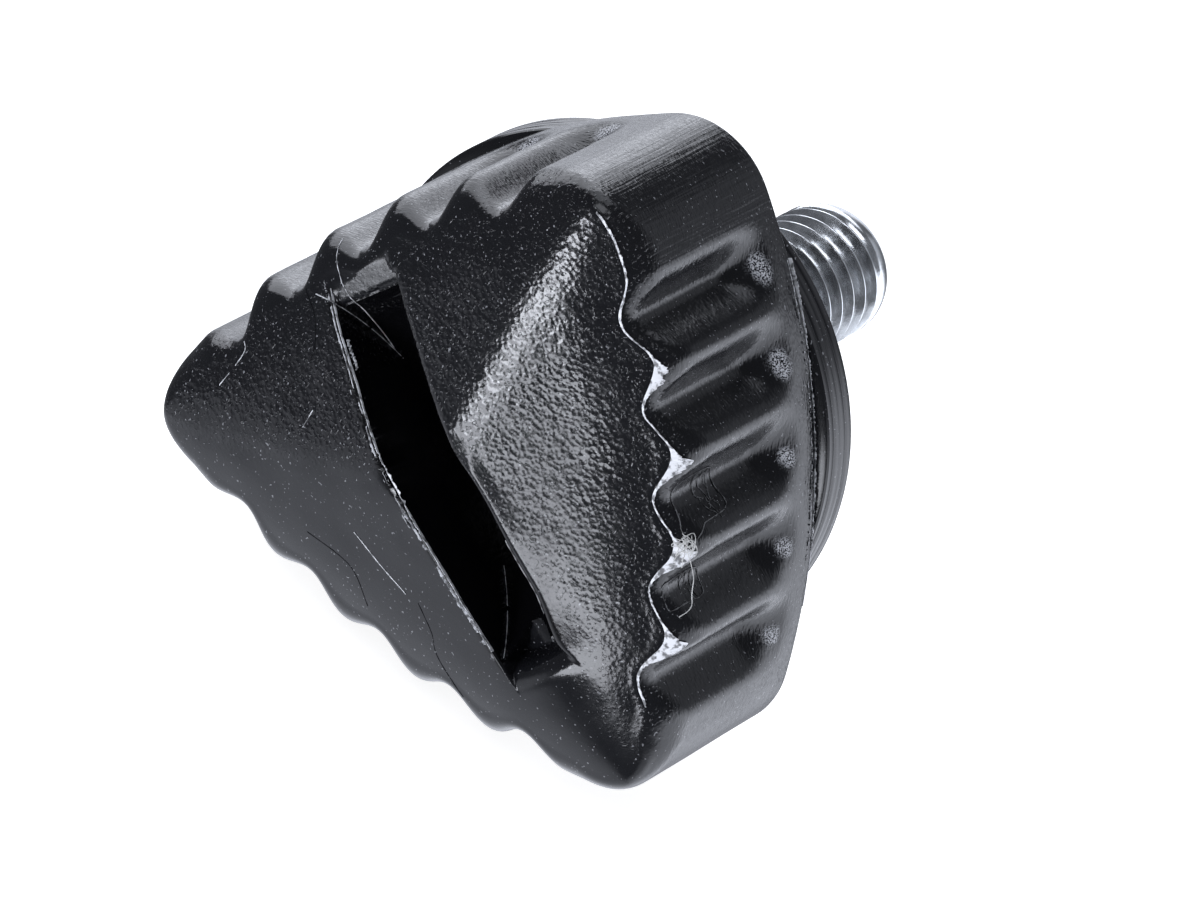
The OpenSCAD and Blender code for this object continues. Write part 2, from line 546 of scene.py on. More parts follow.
def wall_point(grip, station, share):
    """A point of the straight wall."""
    low = flute_end(grip) + grip.flute_run_out
    front = low + (edge_height(grip, station, 0) - low) * share
    return in_frame(station.inset(grip, 0), front)


def front_point(grip, station, share):
    """A point of the rounded front edge."""
    turn = (math.pi / 2 - grip.face_slope) * share
    depth = station.rounding * (1 - math.cos(turn))
    return in_frame(station.inset(grip, depth), edge_height(grip, station, depth))


def face_point(grip, station, share):
    """A point of the front faces, from the edge at 0 to the peak at 1."""
    place = station.inset(grip, station.flat(grip)) * (1 - share)
    return in_frame(place, face_height(grip, place))


def grip_rows(grip, stations):
    """Rows of points from the back of the grip to near its peak."""
    zones = (
        (back_point, 0, BACK_ROWS + 1, BACK_ROWS),
        (run_out_point, 0, RUN_OUT_ROWS + 1, RUN_OUT_ROWS),
        (wall_point, 1, WALL_ROWS, WALL_ROWS),
        (front_point, 0, FRONT_ROWS + 1, FRONT_ROWS),
        (face_point, 1, FACE_ROWS, FACE_ROWS),
    )
    return [
        [point_of(grip, station, i / rows) for station in stations]
        for point_of, first, end, rows in zones
        for i in range(first, end)
    ]


def loft_grip(bm, grip):
    """The grip without its slot, lofted by extruding its outline row by row."""
    stations = outline(grip)
    circle = bmesh.ops.create_circle(
        bm, cap_ends=True, segments=len(stations), radius=grip.side_reach
    )
    ring = list(circle["verts"])
    rows = grip_rows(grip, stations)
    put(ring, rows[0])
    for row in rows[1:]:
        ring = next_ring(bm, ring)
        put(ring, row)
    axis = Vector((0, 0))
    bmesh.ops.pointmerge(bm, verts=ring, merge_co=in_frame(axis, face_height(grip, axis)))
    bmesh.ops.recalc_face_normals(bm, faces=bm.faces)
    bm.normal_update()
    finish_surface(bm, grip)


def wheel_centre(grip):
    """How far in front the middle of the slot's wheel lies."""
    return peak(grip) - grip.slot_depth + grip.slot_radius


def lip_distance(grip, point):
    """How far a point lies outside the slot, as a share of the lip there, and the lip's
    rounding."""
    run, across = slot_place(point)
    across += grip.slot_shift
    run += grip.slot_lag
    drop = wheel_centre(grip) + point.y
    reach = math.sqrt(max(grip.slot_radius**2 - drop * drop, 0.0))
    side = grip.slot_upper_lip if across > 0 else grip.slot_lower_lip
    end = grip.slot_end_lip if run > 0 else SHARP_END
    over_end = (abs(run) - reach) / end
    over_side = (abs(across) - grip.slot_width / 2) / side
    if over_end <= 0 and over_side <= 0:
        return 0.0, end if over_end * end > over_side * side else side
    over_end, over_side = max(over_end, 0.0), max(over_side, 0.0)
    lip = (end * over_end**2 + side * over_side**2) / (over_end**2 + over_side**2)
    return math.hypot(over_end, over_side), lip


def level_shelf(grip, point):
    """Drops a point on to the level shelf at the end of the slot away from the corner."""
    run, across = slot_place(point)
    beside = across + grip.slot_shift + grip.slot_width / 2
    if run > 0 or not 0 < beside < grip.slot_width:
        return point
    reach = SHELF_START + grip.slot_lag + grip.slot_shelf
    level = peak(grip) - math.tan(grip.face_slope) * reach
    level -= SHELF_FALL_ACROSS * beside + SHELF_FALL_ALONG * (run + reach)
    return Vector((point.x, max(point.y, -level), point.z))


def round_lip(grip, point):
    """Drops a point of the front on to the rounded lip of the slot."""
    point = level_shelf(grip, point)
    over, lip = lip_distance(grip, point)
    if over >= 1:
        return point
    drop = lip * (1 - math.sqrt(1 - (1 - over) ** 2))
    return point + Vector((0, drop, 0))


def rim_swell(run):
    """How far the slot's upper wall bulges away from the slot, along its run."""
    run = run / MM
    bulge = 0.35 * math.exp(-(((run - 1.6) / 3.0) ** 2))
    pinch = 0.75 * smooth(run, 7.4, 11.4) * (1 - smooth(run, 11.0, 13.0))
    return (bulge - pinch) * MM


def swell_rim(grip, point):
    """Bends the upper wall of the slot, which is not quite straight."""
    run, across = slot_place(point)
    wall = abs(across + grip.slot_shift - grip.slot_width / 2)
    if wall > SWELL_REACH or -point.y < peak(grip) - grip.slot_depth:
        return point
    move = rim_swell(run) * (1 - smooth(wall, 0.0, SWELL_REACH))
    return point + in_frame(slot_point(0, move), 0)


def finish_surface(bm, grip):
    """Wears the top corner, rounds the slot's lips and adds the moulding's slight waves."""
    low = peak(grip) - LIP_ZONE

    def near_lip(edge):
        middle = (edge.verts[0].co + edge.verts[1].co) / 2
        return -middle.y > low and lip_distance(grip, middle)[0] < FINE_LIP

    fine = [e for e in bm.edges if near_lip(e)]
    bmesh.ops.subdivide_edges(bm, edges=fine, cuts=1, use_grid_fill=True)
    bm.normal_update()
    for v in bm.verts:
        v.co += v.normal * noise.fractal(v.co * WAVES, 1.0, 2.0, 2) * WAVE_HEIGHT
        if -v.co.y > low:
            v.co = round_lip(grip, v.co)
        v.co = inside_frame(wear_top(grip, v.co))


def slot_cutter(bm, grip):
    """A wheel that stands across the front and cuts the slot."""
    circle = bmesh.ops.create_circle(bm, cap_ends=True, segments=160, radius=grip.slot_radius)
    disc = circle["verts"][0].link_faces[:]
    made = bmesh.ops.extrude_face_region(bm, geom=disc)["geom"]
    moved = [v for v in made if isinstance(v, bmesh.types.BMVert)]
    bmesh.ops.translate(bm, verts=moved, vec=(0, 0, grip.slot_width))
    bmesh.ops.translate(
        bm, verts=bm.verts, vec=(0, 0, -grip.slot_width / 2 - grip.slot_shift)
    )
    # the wheel's own axis, Z, turns to lie across the slot
    run = along(SLOT_DIRECTION)
    turn = Matrix(((run.x, 0, -run.y), (0, -1, 0), (run.y, 0, run.x))).to_4x4()
    bmesh.ops.transform(bm, matrix=turn, verts=bm.verts)
    middle = in_frame(slot_point(-grip.slot_lag, 0), wheel_centre(grip))
    bmesh.ops.translate(bm, verts=bm.verts, vec=middle)
    bmesh.ops.recalc_face_normals(bm, faces=bm.faces)


# ---------------------------------------------------------------- finish maps on the grip

# strength of the mould's grain on the walls and in the slot
WALL_GRAIN = 0.12
SLOT_GRAIN = 0.03
# how far in front the faces begin, and the scuffs' middles and reach
FACE_START = 14.5 * MM
SCUFF_FRONT = 5.2 * MM
SCUFF_REACH = 2.2 * MM


def grain_at(point):
    """How strongly the mould's grain shows: on the two upper faces, and fading below."""
    if -point.y < FACE_START:
        return WALL_GRAIN
    run, across = slot_place(point)
    on_shelf = run < -11 * MM and abs(across) < 2.6 * MM
    in_slot = run < 10 * MM and abs(across + 0.3 * MM) < 2.2 * MM
    if on_shelf or in_slot:
        return SLOT_GRAIN
    place = plan(point)
    facing = place.normalized() if place.length > 0 else Vector((0, 1))
    down = facing.dot(along(SIDE_FACES[2]))
    reach = place.dot(along(SIDE_FACES[1])) / GRIP_HIGH.z
    edge = 1 - smooth(reach, 0.58, 0.66)
    # smoother beside the slot's upper rim and towards the slot's corner
    beside = 1 - smooth(across, 2.4 * MM, 4.4 * MM)
    calm = 1 - 0.75 * beside * smooth(run, -5 * MM, 0.0)
    calm *= 1 - 0.4 * smooth(run, 1 * MM, 8 * MM)
    return edge * calm * (1 - 0.93 * smooth(down, 0.36, 0.62))


def scuff_at(grip, point):
    """Rough pale marks at the back ends of the flutes, larger towards the top corner."""
    past = -point.y - SCUFF_FRONT
    if abs(past) > SCUFF_REACH:
        return 0.0
    strongest = 0.0
    for side in range(SIDES):
        out, run = side_place(point, side)
        if out < 0.6 * grip.side_reach:
            continue
        for k in range(-(FLUTES // 2), FLUTES // 2 + 1):
            large = k != 0 and (k > 0) == (side == 0)
            size = 0.9 if large else 0.6
            middle = 0.985 * k * grip.flute_pitch - 0.5 * MM + 0.3 * past
            far = math.hypot((run - middle) / (size * MM), past / ((0.25 + 0.3 * size) * MM))
            strongest = max(strongest, 1 - smooth(far, 0.6, 1.2))
    return strongest


def wall_at(point):
    """The fine cross lines of the mould show on the walls and fade over the front edge."""
    return 0.12 + 0.88 * (1 - smooth(-point.y, 14.0 * MM, 15.2 * MM))


def strokes_at(point):
    """Polishing strokes along the stud's axis, on top of the top corner."""
    return smooth(point.z, 0.83 * GRIP_HIGH.z, 0.9 * GRIP_HIGH.z) * wall_at(point)


def painted_slot_shade_at(grip, point):
    """1 inside the slot, where shade is painted into the plastic's colour, and 0 outside it."""
    run, across = slot_place(point)
    reach = math.hypot(run + grip.slot_lag, wheel_centre(grip) + point.y)
    inside = abs(across + grip.slot_shift) < grip.slot_width / 2 + 0.4 * MM
    return 1.0 if inside and reach < grip.slot_radius + 0.05 * MM else 0.0


def write_map(mesh, name, value_at):
    """Stores a number for each vertex of a mesh, for its material to read."""
    values = mesh.attributes.new(name, "FLOAT", "POINT").data
    for vertex, value in zip(mesh.vertices, values):
        value.value = value_at(vertex.co)


# ---------------------------------------------------------------- the stud's thread


def root_radius(stud):
    """Radius at the bottom of the thread."""
    return stud.diameter / 2 - THREAD_DEPTH * stud.pitch


def thread_profile(stud):
    """One pitch of the thread's outline, as (radius, distance along the axis)."""
    root = root_radius(stud)
    shares = (
        (0.0, 0.0), (0.11, 0.03), (0.21, 0.17), (0.35, 0.58), (0.45, 0.93), (0.48, 1.0),
        (0.53, 1.0), (0.56, 0.93), (0.66, 0.58), (0.80, 0.17), (0.90, 0.03), (1.0, 0.0),
    )
    return [
        (root + (stud.diameter / 2 - root) * rise, stud.pitch * go) for go, rise in shares
    ]


def draw_profile(bm, profile):
    """A line of vertices and edges through points given as (radius, distance along Y)."""
    last = None
    for radius, level in profile:
        fresh = bm.verts.new((radius, level, 0))
        if last is not None:
            bm.edges.new((last, fresh))
        last = fresh


def turn_profile(bm, angle, steps, advance=0.0):
    """Turns everything in a bmesh round the Y axis, moving it on by advance each step."""
    bmesh.ops.spin(
        bm,
        geom=bm.verts[:] + bm.edges[:],
        cent=(0, 0, 0),
        axis=(0, 1, 0),
        dvec=(0, advance, 0),
        angle=angle,
        steps=steps,
        use_merge=advance == 0.0,
    )


def cut_thread(bm, stud):
    """The stud, with its thread made by turning one pitch of outline round the axis."""
    steps = 72
    low, high = -0.35 * MM, STUD_HIGH.y
    turns = math.ceil((high - low) / stud.pitch) + 3
    start = low - 1.5 * stud.pitch
    draw_profile(bm, [(radius, start + go) for radius, go in thread_profile(stud)])
    turn_profile(bm, math.tau * turns, steps * turns, stud.pitch / steps)
    bmesh.ops.remove_doubles(bm, verts=bm.verts, dist=0.004 * MM)
    for level, outward in ((low, -1), (high, 1)):
        bmesh.ops.bisect_plane(
            bm,
            geom=bm.verts[:] + bm.edges[:] + bm.faces[:],
            dist=0.0005 * MM,
            plane_co=(0, level, 0),
            plane_no=(0, outward, 0),
            clear_outer=True,
        )
    ends = bmesh.ops.holes_fill(bm, edges=[e for e in bm.edges if e.is_boundary], sides=0)
    bmesh.ops.recalc_face_normals(bm, faces=bm.faces)
    tip = max(ends["faces"], key=lambda f: f.calc_center_median().y)
    bmesh.ops.inset_region(bm, faces=[tip], thickness=0.25 * MM, depth=0)
    round_tip(bm, stud)


def round_tip(bm, stud):
    """Turns the tip down to its bevel, with a soft shoulder and no thread left on it."""
    begin = STUD_HIGH.y - 1.45 * stud.tip_bevel
    fading = STUD_HIGH.y - 2.2 * stud.tip_bevel
    for v in bm.verts:
        radius = math.hypot(v.co.x, v.co.z)
        if v.co.y <= fading or radius <= 0.8 * root_radius(stud):
            continue
        share = max(v.co.y - begin, 0.0) / (STUD_HIGH.y - begin)
        limit = stud.diameter / 2 - stud.tip_bevel * (1 - math.sqrt(max(1 - share**2, 0)))
        filled = radius + (limit - radius) * smooth(v.co.y, fading, begin)
        wanted = min(limit, max(radius, filled))
        v.co.x *= wanted / radius
        v.co.z *= wanted / radius


# ---------------------------------------------------------------- the collar

# the ring that keeps the seating face clear of the thread
RELIEF_RADIUS = 4.5 * MM
RELIEF_DEPTH = 0.4 * MM
# shallow rings round the rim: distance in front of the seating face, and depth, in millimetres
COLLAR_RINGS = ((0.80, 0.03), (1.35, 0.02), (1.95, 0.035))


def turn_collar(bm, grip):
    """The collar, turned on a lathe with the fine rings of its mould plate."""
    reach, thick = grip.collar_diameter / 2 - 0.01 * MM, grip.collar_thickness
    bevel = 0.3 * MM
    inner = RELIEF_RADIUS - 1.0 * MM
    profile = [
        (inner, -RELIEF_DEPTH),
        (RELIEF_RADIUS, -RELIEF_DEPTH),
        (RELIEF_RADIUS, 0.0),
        (reach - 3.0 * MM, 0.0),
        (reach - bevel, 0.0),
        (reach - 0.1 * MM, -0.08 * MM),
        (reach, -bevel),
    ]
    for middle, depth in COLLAR_RINGS:
        for step, share in ((-0.09, 0.0), (-0.03, 1.0), (0.03, 1.0), (0.09, 0.0)):
            profile.append((reach - depth * share * MM, -(middle + step) * MM))
    profile += [
        (reach, -(thick - 0.36 * MM)),
        (reach - 0.08 * MM, -(thick - 0.24 * MM)),
        (reach - 0.2 * MM, -(thick - 0.19 * MM)),
        (reach - 0.9 * MM, -thick),
        (reach - 2.2 * MM, -thick),
        (inner, -thick),
    ]
    draw_profile(bm, profile)
    turn_profile(bm, math.tau, 240)
    bmesh.ops.recalc_face_normals(bm, faces=bm.faces)
    for v in bm.verts:
        if v.co.y < -0.5 * MM and math.hypot(v.co.x, v.co.z) > reach - 0.5 * MM:
            v.co.y += ragged(math.atan2(v.co.z, v.co.x) * 3, 4) * 0.02 * MM


# ---------------------------------------------------------------- torn flash and lint


def sheet(bm, spot, steps, rows):
    """A thin sheet of flash: spot(share, across) is a point along it and across it."""
    made = bmesh.ops.create_grid(bm, x_segments=steps, y_segments=rows, size=0.5)["verts"]
    for v in made:
        v.co = inside_frame(spot(v.co.x + 0.5, v.co.y + 0.5))


def film(bm, path, rise, steps):
    """A thin strip of flash: path(share) is its foot and rise(share) its far edge."""
    sheet(bm, lambda share, across: rise(share) if across > 0.5 else path(share), steps, 1)


def edge_point(grip, side, turn, depth):
    """A point of a side's front edge, moved inward from the line over the crests."""
    station = side_station(grip, SIDE_FACES[side], turn)
    depth = max(depth - grip.flute_depth * station.flute, 0.0)
    point = in_frame(station.inset(grip, depth), edge_height(grip, station, depth))
    return wear_top(grip, point)


def edge_flash(bm, grip, side, seed):
    """Flash along the front edge of a side, torn, and wide just below the crests, where its pale
    patches are painted highlights on the crests' front ends.
    """
    first, last = 18.0 * MM, -12.6 * MM
    crest_lag = 0.13 * grip.flute_pitch / grip.side_radius

    def turn_of(share):
        return turn_at(grip, first + (last - first) * share)

    def depth_at(share):
        corner = smooth(share, -0.05, 0.15)
        sway = 0.12 * ragged(share * 11, seed + 4)
        flute = flute_share(grip, turn_of(share))
        return (0.6 + 0.75 * corner + sway + 1.05 * flute) * MM

    def width_at(share, fine):
        # painted highlight: the flash widens at each crest, so its pale film stands in for the
        # light on the crest's front end
        crest = 1 - flute_share(grip, turn_of(share) + crest_lag)
        if share < 0.24 or share > 0.97:
            crest = 0.45
        torn = 0.65 + 0.35 * ragged(share * 60, seed)
        thin = smooth(ragged(share * 35, seed + 2), -0.5, 0.2)
        patch = (0.45 + 0.9 * share) * crest**4 * torn
        return (0.01 + 0.04 * thin + patch + (0.05 + 0.3 * patch) * fine) * MM

    def spot(share, across):
        turn, fine = turn_of(share), grit(share * 300, seed + 1)
        foot = depth_at(share)
        least = grip.flute_depth * flute_share(grip, turn) + 0.35 * MM
        depth = max(foot - width_at(share, fine) * across, min(least, foot))
        out = side_station(grip, SIDE_FACES[side], turn).facing
        rough = 0.03 * ragged(share * 200 + 7 * across, seed + 3)
        lift = across * (0.05 + 0.05 * fine + rough) * MM
        return edge_point(grip, side, turn, depth) + in_frame(out * lift, lift)

    sheet(bm, spot, 1000, 6)


def rim_point(grip, run, across, lift=0.0):
    """A point of the front beside the slot, lifted off the surface."""
    place = slot_point(run, across)
    return in_frame(place, face_height(grip, place) + lift)


def rim_fin(bm, grip, offset, start, end, height, gaps, seed):
    """A torn fin that stands along the slot's lower rim."""
    rim = -grip.slot_width / 2 - grip.slot_shift - offset * MM
    lean = 0.8 if seed % 2 else -0.8

    def foot(share):
        """The fin's distance along the slot, and across it."""
        return (start + (end - start) * share) * MM, rim + ragged(share * 9, seed) * 0.07 * MM

    def rise(share):
        run, across = foot(share)
        torn = max(ragged(share * 60, seed + 2), 0.0)
        here = smooth(ragged(share * 16, seed + 5), -gaps, -gaps + 0.2)
        full = 0.8 + 0.9 * smooth(run / MM, -6, 0)
        up = here * full * (0.03 + height * torn + 0.04 * grit(share * 240, seed + 3)) * MM
        return rim_point(grip, run, across + lean * up, here * up - (1 - here) * 0.3 * MM)

    film(bm, lambda share: rim_point(grip, *foot(share), -0.15 * MM), rise, 520)


def rim_flash(bm, grip):
    """Torn flash along the slot's lower rim: close lines, some of them broken."""
    for fin in RIM_FINS:
        rim_fin(bm, grip, *fin)


def smooth_path(points, share):
    """A point along a smooth line through a few points."""
    spans = len(points) - 1
    place = share * spans
    i = min(int(place), spans - 1)
    t = place - i
    p0, p1 = points[max(i - 1, 0)], points[i]
    p2, p3 = points[i + 1], points[min(i + 2, spans)]
    return 0.5 * (
        2 * p1
        + (p2 - p0) * t
        + (2 * p0 - 5 * p1 + 4 * p2 - p3) * t * t
        + (3 * p1 - p0 - 3 * p2 + p3) * t**3
    )


def heading_along(points, share, step):
    """Which way a smooth line runs, from points a step before and a step after."""
    return smooth_path(points, min(share + step, 1)) - smooth_path(points, max(share - step, 0))


def surface_line(bm, surface, points, width, height, steps=80, seed=0, wander=0.0, gaps=WHOLE):
    """A fine ridge laid on the grip along a smooth line through a few points, in mm."""
    points = [Vector(p) * MM for p in points]

    def place(share, side):
        target = smooth_path(points, share)
        target += drift(share * 6, seed) * wander
        spot, normal, _, _ = surface.find_nearest(target)
        across = heading_along(points, share, 0.02).cross(normal).normalized()
        rough = 0.65 + 0.35 * ragged(share * steps * 0.4, seed)
        here = smooth(ragged(share * 12, seed + 2), gaps, gaps + 0.15)
        lift = height * rough * here - 0.03 * MM * (1 - here)
        return spot + across * side * width * rough + normal * lift

    film(bm, lambda share: place(share, -0.5), lambda share: place(share, 0.5), steps)


def slot_floor(grip, run, lift=0.0):
    """How far in front the slot's floor lies, at a distance along the slot."""
    radius, reach = grip.slot_radius - lift, run + grip.slot_lag
    return wheel_centre(grip) - math.sqrt(radius * radius - reach * reach)


def floor_point(grip, run, across):
    """A point of the slot's floor, or of the front beyond the slot's end."""
    place = slot_point(run, across)
    front = face_height(grip, place)
    if abs(run + grip.slot_lag) < grip.slot_radius:
        front = min(front, slot_floor(grip, run))
    return in_frame(place, front)


def floor_line(bm, grip, start, end, seed):
    """Torn flash along the corner between the slot's floor and its lower wall."""
    corner = -grip.slot_width / 2 - grip.slot_shift

    def spot(share, across, lift):
        run = start + (end - start) * share
        return in_frame(slot_point(run, corner + across), slot_floor(grip, run, lift))

    def rise(share):
        here = smooth(ragged(share * 14, seed), -0.75, -0.5)
        up = here * (0.05 + 0.22 * max(ragged(share * 60, seed + 1), 0)) * MM
        return spot(share, 0.02 * MM + up, up - (1 - here) * 0.2 * MM)

    film(bm, lambda share: spot(share, 0.0, -0.05 * MM), rise, 160)


def slot_lines(bm, grip, surface):
    """Flash at both ends of the slot's floor, a hair on it, and a line on its upper rim."""
    for start, end, seed in ((-11.9, -6.6, 2), (6.0, 10.4, 6)):
        floor_line(bm, grip, start * MM, end * MM, seed)
    hair = [floor_point(grip, run * MM, across * MM) / MM for run, across in SLOT_HAIR]
    surface_line(bm, surface, hair, 0.045 * MM, 0.03 * MM, 110, seed=4)
    upper = grip.slot_width / 2 - grip.slot_shift
    runs = [(4.6 + 0.75 * i) * MM for i in range(7)]
    rim = [rim_point(grip, run, upper + rim_swell(run), -0.25 * MM) / MM for run in runs]
    surface_line(bm, surface, rim, 0.07 * MM, 0.05 * MM, 80, seed=8)


def squared(value, half):
    """A circle's sine or cosine, bent towards a rounded square of half a size."""
    return half * math.copysign(abs(value) ** 0.6, value)


def moulding_rings(bm, surface):
    """Faint raised rings and wavy lines left in the flutes by the mould."""
    along_side = in_frame(along(SIDE_FACES[0] + math.pi / 2), 0)
    turns = [math.tau * i / 24 for i in range(25)]

    def laid(middle, line):
        """Points round a middle, from how far each lies along the stud and across it."""
        return [Vector(middle) + Vector((0, y, 0)) + across * along_side for y, across in line]

    for k, (middle, long, wide) in enumerate(RINGS):
        ring = [(squared(math.cos(t), long), squared(math.sin(t), wide)) for t in turns]
        loop = laid(middle, ring)
        surface_line(bm, surface, loop, 0.09 * MM, 0.05 * MM, 160, 40 + k, 0.15 * MM, -0.6)
        for j in range(3):
            y, seed = long * (0.15 + 0.25 * j), 50 + 3 * k + j
            line = laid(middle, [(y, wide * (0.85 - 0.34 * i)) for i in range(6)])
            surface_line(bm, surface, line, 0.06 * MM, 0.035 * MM, 60, seed, 0.5 * MM, -0.2)


def collar_line(bm, grip, side, foot, level, seed):
    """A speckled line of flash on a side's wall, at a level in front of the collar."""

    def place(share, out, front):
        turn = math.radians(13) * (1 - 2 * share)
        station = side_station(grip, SIDE_FACES[side], turn)
        front += grip.collar_thickness + ragged(share * 8, side + 5 * seed) * 0.06 * MM
        return in_frame(station.place + station.facing * out, front)

    def rise(share):
        here = smooth(ragged(share * 150, side + 62 + seed), 0.0, 0.15)
        here *= smooth(share, 0.0, 0.08) * (1 - smooth(share, 0.8, 0.9))
        up = here * (0.02 + 0.08 * grit(share * 420, side + 61 + seed))
        return place(share, (up - 0.04 * (1 - here)) * MM, (level + up) * MM)

    film(bm, lambda share: place(share, foot * MM, level * MM), rise, 700)


def collar_flash(bm, grip, side):
    """Two speckled lines of flash along the back edge of a side's wall."""
    collar_line(bm, grip, side, -0.35, 0.08, 0)
    collar_line(bm, grip, side, -0.02, 0.5, 1)


def fibre(bm, points, steps, seed, curl):
    """A loose fibre through a few points, with its own small curls."""
    points = [Vector(p) * MM for p in points]
    out = in_frame(along(SIDE_FACES[0]), 0.4)
    half = 0.018 * MM

    def place(share, side):
        spot = smooth_path(points, share)
        spot += drift(share * 4, seed) * curl
        return spot + heading_along(points, share, 0.03).cross(out).normalized() * side * half

    film(bm, lambda share: place(share, -1), lambda share: place(share, 1), steps)


def lint_knot(bm):
    """A tangle of loose fibres, and the tails that hang out of it."""
    for i, tail in enumerate(LINT_TAILS):
        fibre(bm, tail, 60, i, 0.25 * MM)
    for i in range(7):
        tangle = [Vector(LINT_KNOT) + 0.75 * drift(j * 1.7, i + 9) for j in range(6)]
        fibre(bm, tangle, 50, 20 + i, 0.2 * MM)


def scratches(bm, surface, lines):
    """Fine raised scratches and hair lines on the front faces."""
    for i, (points, width, gaps) in enumerate(lines):
        surface_line(
            bm, surface, points, width * MM, 0.025 * MM, 60, seed=20 + i, gaps=gaps
        )


# ---------------------------------------------------------------- materials


EVEN = (1, 1, 1)


def node(tree, kind, inputs=(), **settings):
    """A shader node with its settings, and its inputs as values or sockets to link."""
    made = tree.nodes.new(kind)
    for name, value in settings.items():
        setattr(made, name, value)
    for name, value in dict(inputs).items():
        if isinstance(value, bpy.types.NodeSocket):
            tree.links.new(value, made.inputs[name])
        else:
            made.inputs[name].default_value = value
    return made


def blank_tree(owner):
    """The emptied node tree of a material or a world."""
    owner.use_nodes = True
    owner.node_tree.nodes.clear()
    return owner.node_tree


def finish_shader(tree, inputs):
    """The shader of a finish, joined to the material's output."""
    shader = node(tree, "ShaderNodeBsdfPrincipled", inputs)
    node(tree, "ShaderNodeOutputMaterial", {"Surface": shader.outputs["BSDF"]})


def stretched_noise(tree, stretch, scale, detail):
    """Noise in the piece's own coordinates, stretched along one of its axes."""
    place = node(tree, "ShaderNodeTexCoord").outputs["Object"]
    mapping = node(tree, "ShaderNodeMapping", {"Vector": place, "Scale": stretch})
    inputs = {"Vector": mapping.outputs["Vector"], "Scale": scale, "Detail": detail}
    return node(tree, "ShaderNodeTexNoise", {**inputs, "Roughness": 0.55}).outputs["Fac"]


def pebbles(tree, scale):
    """Small round cells in the piece's own coordinates."""
    place = node(tree, "ShaderNodeTexCoord").outputs["Object"]
    inputs = {"Vector": place, "Scale": scale, "Smoothness": 0.5}
    return node(tree, "ShaderNodeTexVoronoi", inputs, feature="SMOOTH_F1").outputs["Distance"]


def math_node(tree, operation, first, second, clamp=False):
    """A sum, product or larger of two numbers, each a value or a socket."""
    settings = {"operation": operation, "use_clamp": clamp}
    return node(tree, "ShaderNodeMath", {0: first, 1: second}, **settings).outputs[0]


def map_range(tree, value, low, high, to_low=0.0, to_high=1.0):
    """A number stretched smoothly from one range to another, and held at its ends."""
    inputs = {
        "Value": value, "From Min": low, "From Max": high, "To Min": to_low, "To Max": to_high,
    }
    made = node(tree, "ShaderNodeMapRange", inputs, interpolation_type="SMOOTHSTEP")
    return made.outputs["Result"]


def attribute(tree, name):
    """A map stored on the piece's vertices."""
    return node(tree, "ShaderNodeAttribute", attribute_name=name).outputs["Fac"]


def bump(tree, height, strength, distance, below=None):
    """Relief of a height, laid over the relief below it."""
    inputs = {"Height": height, "Strength": strength, "Distance": distance}
    if below is not None:
        inputs["Normal"] = below
    return node(tree, "ShaderNodeBump", inputs).outputs["Normal"]


def mix_colour(tree, share, low, high):
    """A blend of two colours, each a colour or a socket."""
    inputs = {"Factor": share}
    for name, value in (("A", low), ("B", high)):
        inputs[name] = value if isinstance(value, bpy.types.NodeSocket) else (*value, 1)
    return node(tree, "ShaderNodeMix", inputs, data_type="RGBA").outputs["Result"]


def plastic_material(colours):
    """Black moulded plastic, with its grain, tool lines, rough marks and dust, and painted shade
    in the slot.
    """
    material = bpy.data.materials.new("black_plastic")
    tree = blank_tree(material)
    grain = attribute(tree, "grain")

    # colour: black, paler in the rough marks and in a little dust, and darkest in the slot, where
    # shade is painted
    fleck = stretched_noise(tree, EVEN, 11000, 2)
    specks = map_range(tree, fleck, 0.44, 0.56)
    mark = math_node(tree, "MULTIPLY", attribute(tree, "scuff"), specks, clamp=True)
    dust = map_range(tree, stretched_noise(tree, EVEN, 6300, 0.0), 0.765, 0.82)
    pale = math_node(tree, "MAXIMUM", mark, math_node(tree, "MULTIPLY", dust, 0.3))
    base = mix_colour(tree, pale, colours.plastic, (0.62, 0.63, 0.66))
    # painted shade: the slot's recess is darkened in the colour
    base = mix_colour(tree, attribute(tree, "slot"), base, (0.002, 0.002, 0.0025))

    # gloss: a little uneven, and duller in the marks
    cloud = stretched_noise(tree, EVEN, 320, 3)
    rough = map_range(tree, cloud, 0.3, 0.7, 0.12, 0.19)
    rough = math_node(tree, "ADD", rough, math_node(tree, "MULTIPLY", mark, 0.25))

    # relief: orange peel and pebbles on the upper faces, tool lines on the walls, polishing
    # strokes on the top corner, a fine grain all over, and the rough marks
    dots = map_range(tree, stretched_noise(tree, EVEN, 5600, 0.0), 0.62, 0.74)
    relief = None
    for height, strength, distance in (
        (stretched_noise(tree, EVEN, 1900, 0.0), grain, 0.021),
        (pebbles(tree, 3700), grain, 0.02),
        (dots, grain, 0.016),
        (stretched_noise(tree, (0.3, 1, 0.3), 8500, 1), attribute(tree, "wall"), 0.03),
        (stretched_noise(tree, (1, 0.04, 1), 5200, 1), attribute(tree, "strokes"), 0.03),
        (stretched_noise(tree, EVEN, 9000, 2), 0.3, 0.006),
        (fleck, mark, 0.06),
    ):
        relief = bump(tree, height, strength, distance * MM, relief)
    finish_shader(tree, {"Base Color": base, "Roughness": rough, "IOR": 1.5, "Normal": relief})
    return material


